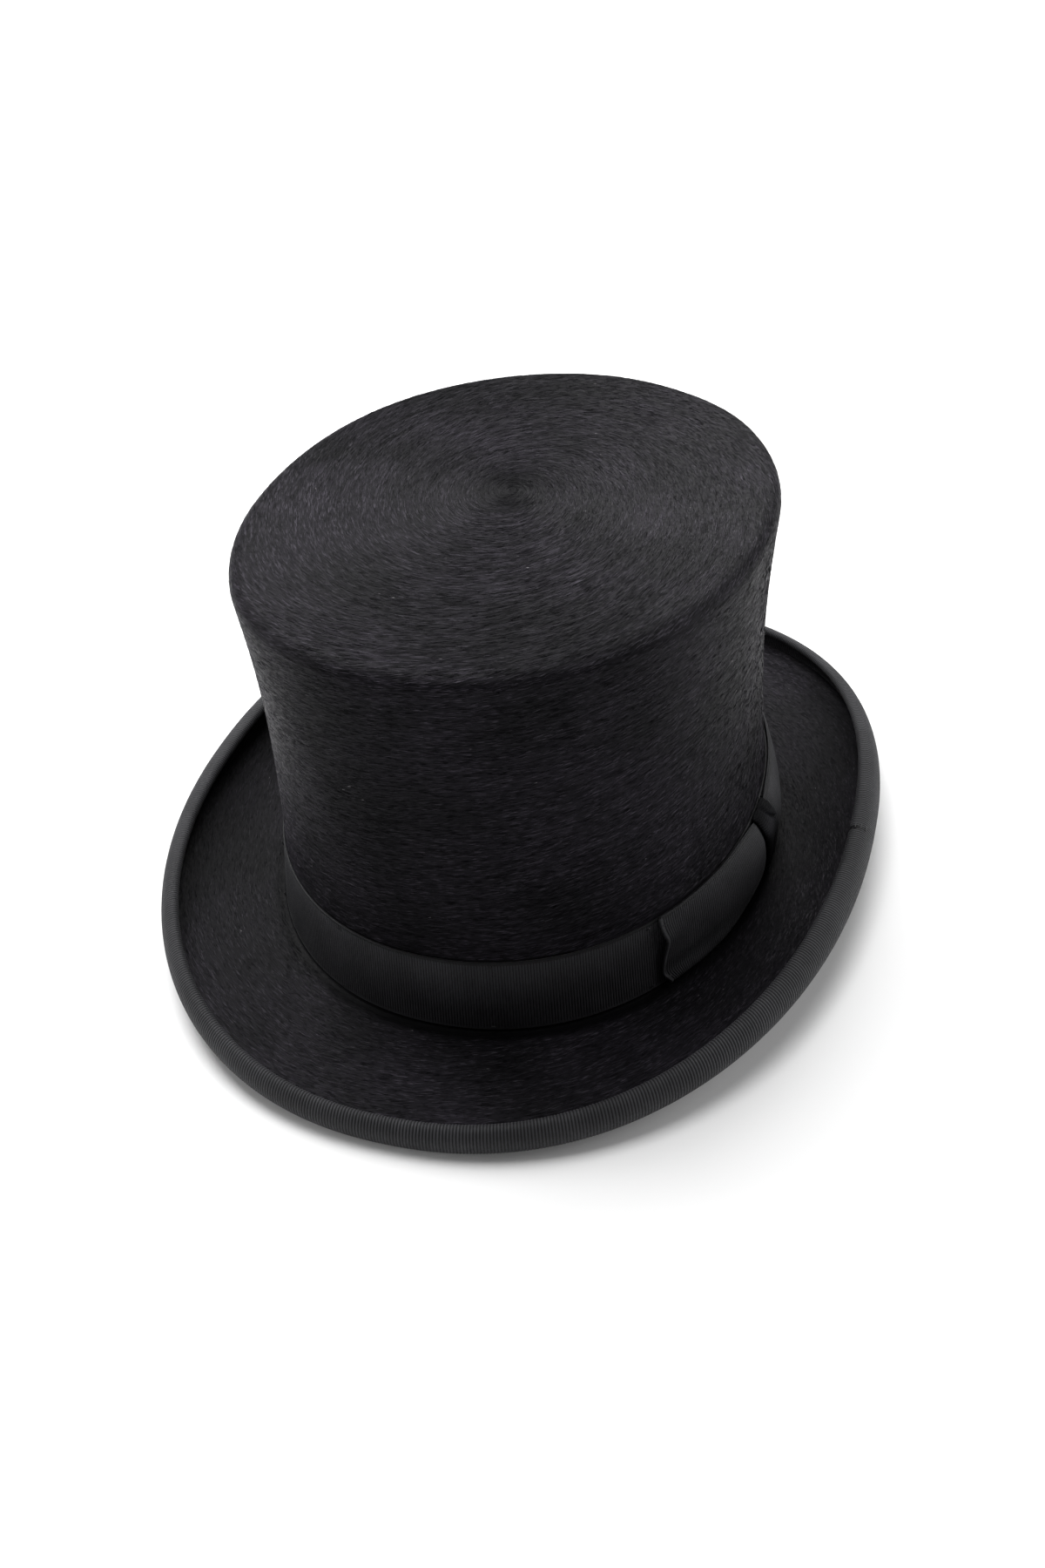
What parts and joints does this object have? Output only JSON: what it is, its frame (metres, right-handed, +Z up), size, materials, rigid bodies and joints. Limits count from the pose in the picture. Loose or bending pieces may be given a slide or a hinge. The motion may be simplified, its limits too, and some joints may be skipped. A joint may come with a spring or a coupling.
{
  "type": "top hat",
  "caption": "Rigid fur-felt top hat with a waisted bell crown, rolled bound brim, ribbed hat band with a flat side bow, leather sweatband and satin lining.",
  "frame": {"origin": "on the ground under the middle of the brim, where the front and back of the brim stand", "axes": "+Z up through the crown, -Y towards the front of the hat, +X to the wearer's left, where the bow is"},
  "size_m": [0.2514, 0.3136, 0.138],
  "materials": {
    "fur_felt": "long-haired black fur felt, brushed in a spiral, soft sheen",
    "grosgrain": "black ribbed grosgrain ribbon, low sheen",
    "bow_grosgrain": "black ribbed grosgrain ribbon, pressed",
    "thread": "black sewing thread",
    "leather": "dark brown roan leather, fine grain",
    "reed": "dark plastic reed",
    "tape": "black woven tape",
    "satin_ribbon": "narrow black satin ribbon",
    "lining_satin": "off-white satin lining",
    "piping": "off-white corded satin piping",
    "wadding": "thin cotton wadding",
    "paper": "plain uncoated paper, blank"
  },
  "bodies": {
    "root": {"felt_body": "fur_felt", "brim_binding": "grosgrain", "binding_join_stitches": "thread", "hat_band": "grosgrain", "band_stitches": "thread", "bow_ribbon": "bow_grosgrain", "bow_knot": "bow_grosgrain", "bow_tacks": "thread", "sweatband": "leather", "sweatband_reed": "reed", "sweatband_tape": "tape", "sweatband_stitches": "thread", "sweatband_seam": "thread", "sweatband_bow": "satin_ribbon", "lining_side": "lining_satin", "lining_tip": "lining_satin", "lining_piping": "piping", "tip_wadding": "wadding", "size_ticket": "paper"}
  },
  "joints": []
}
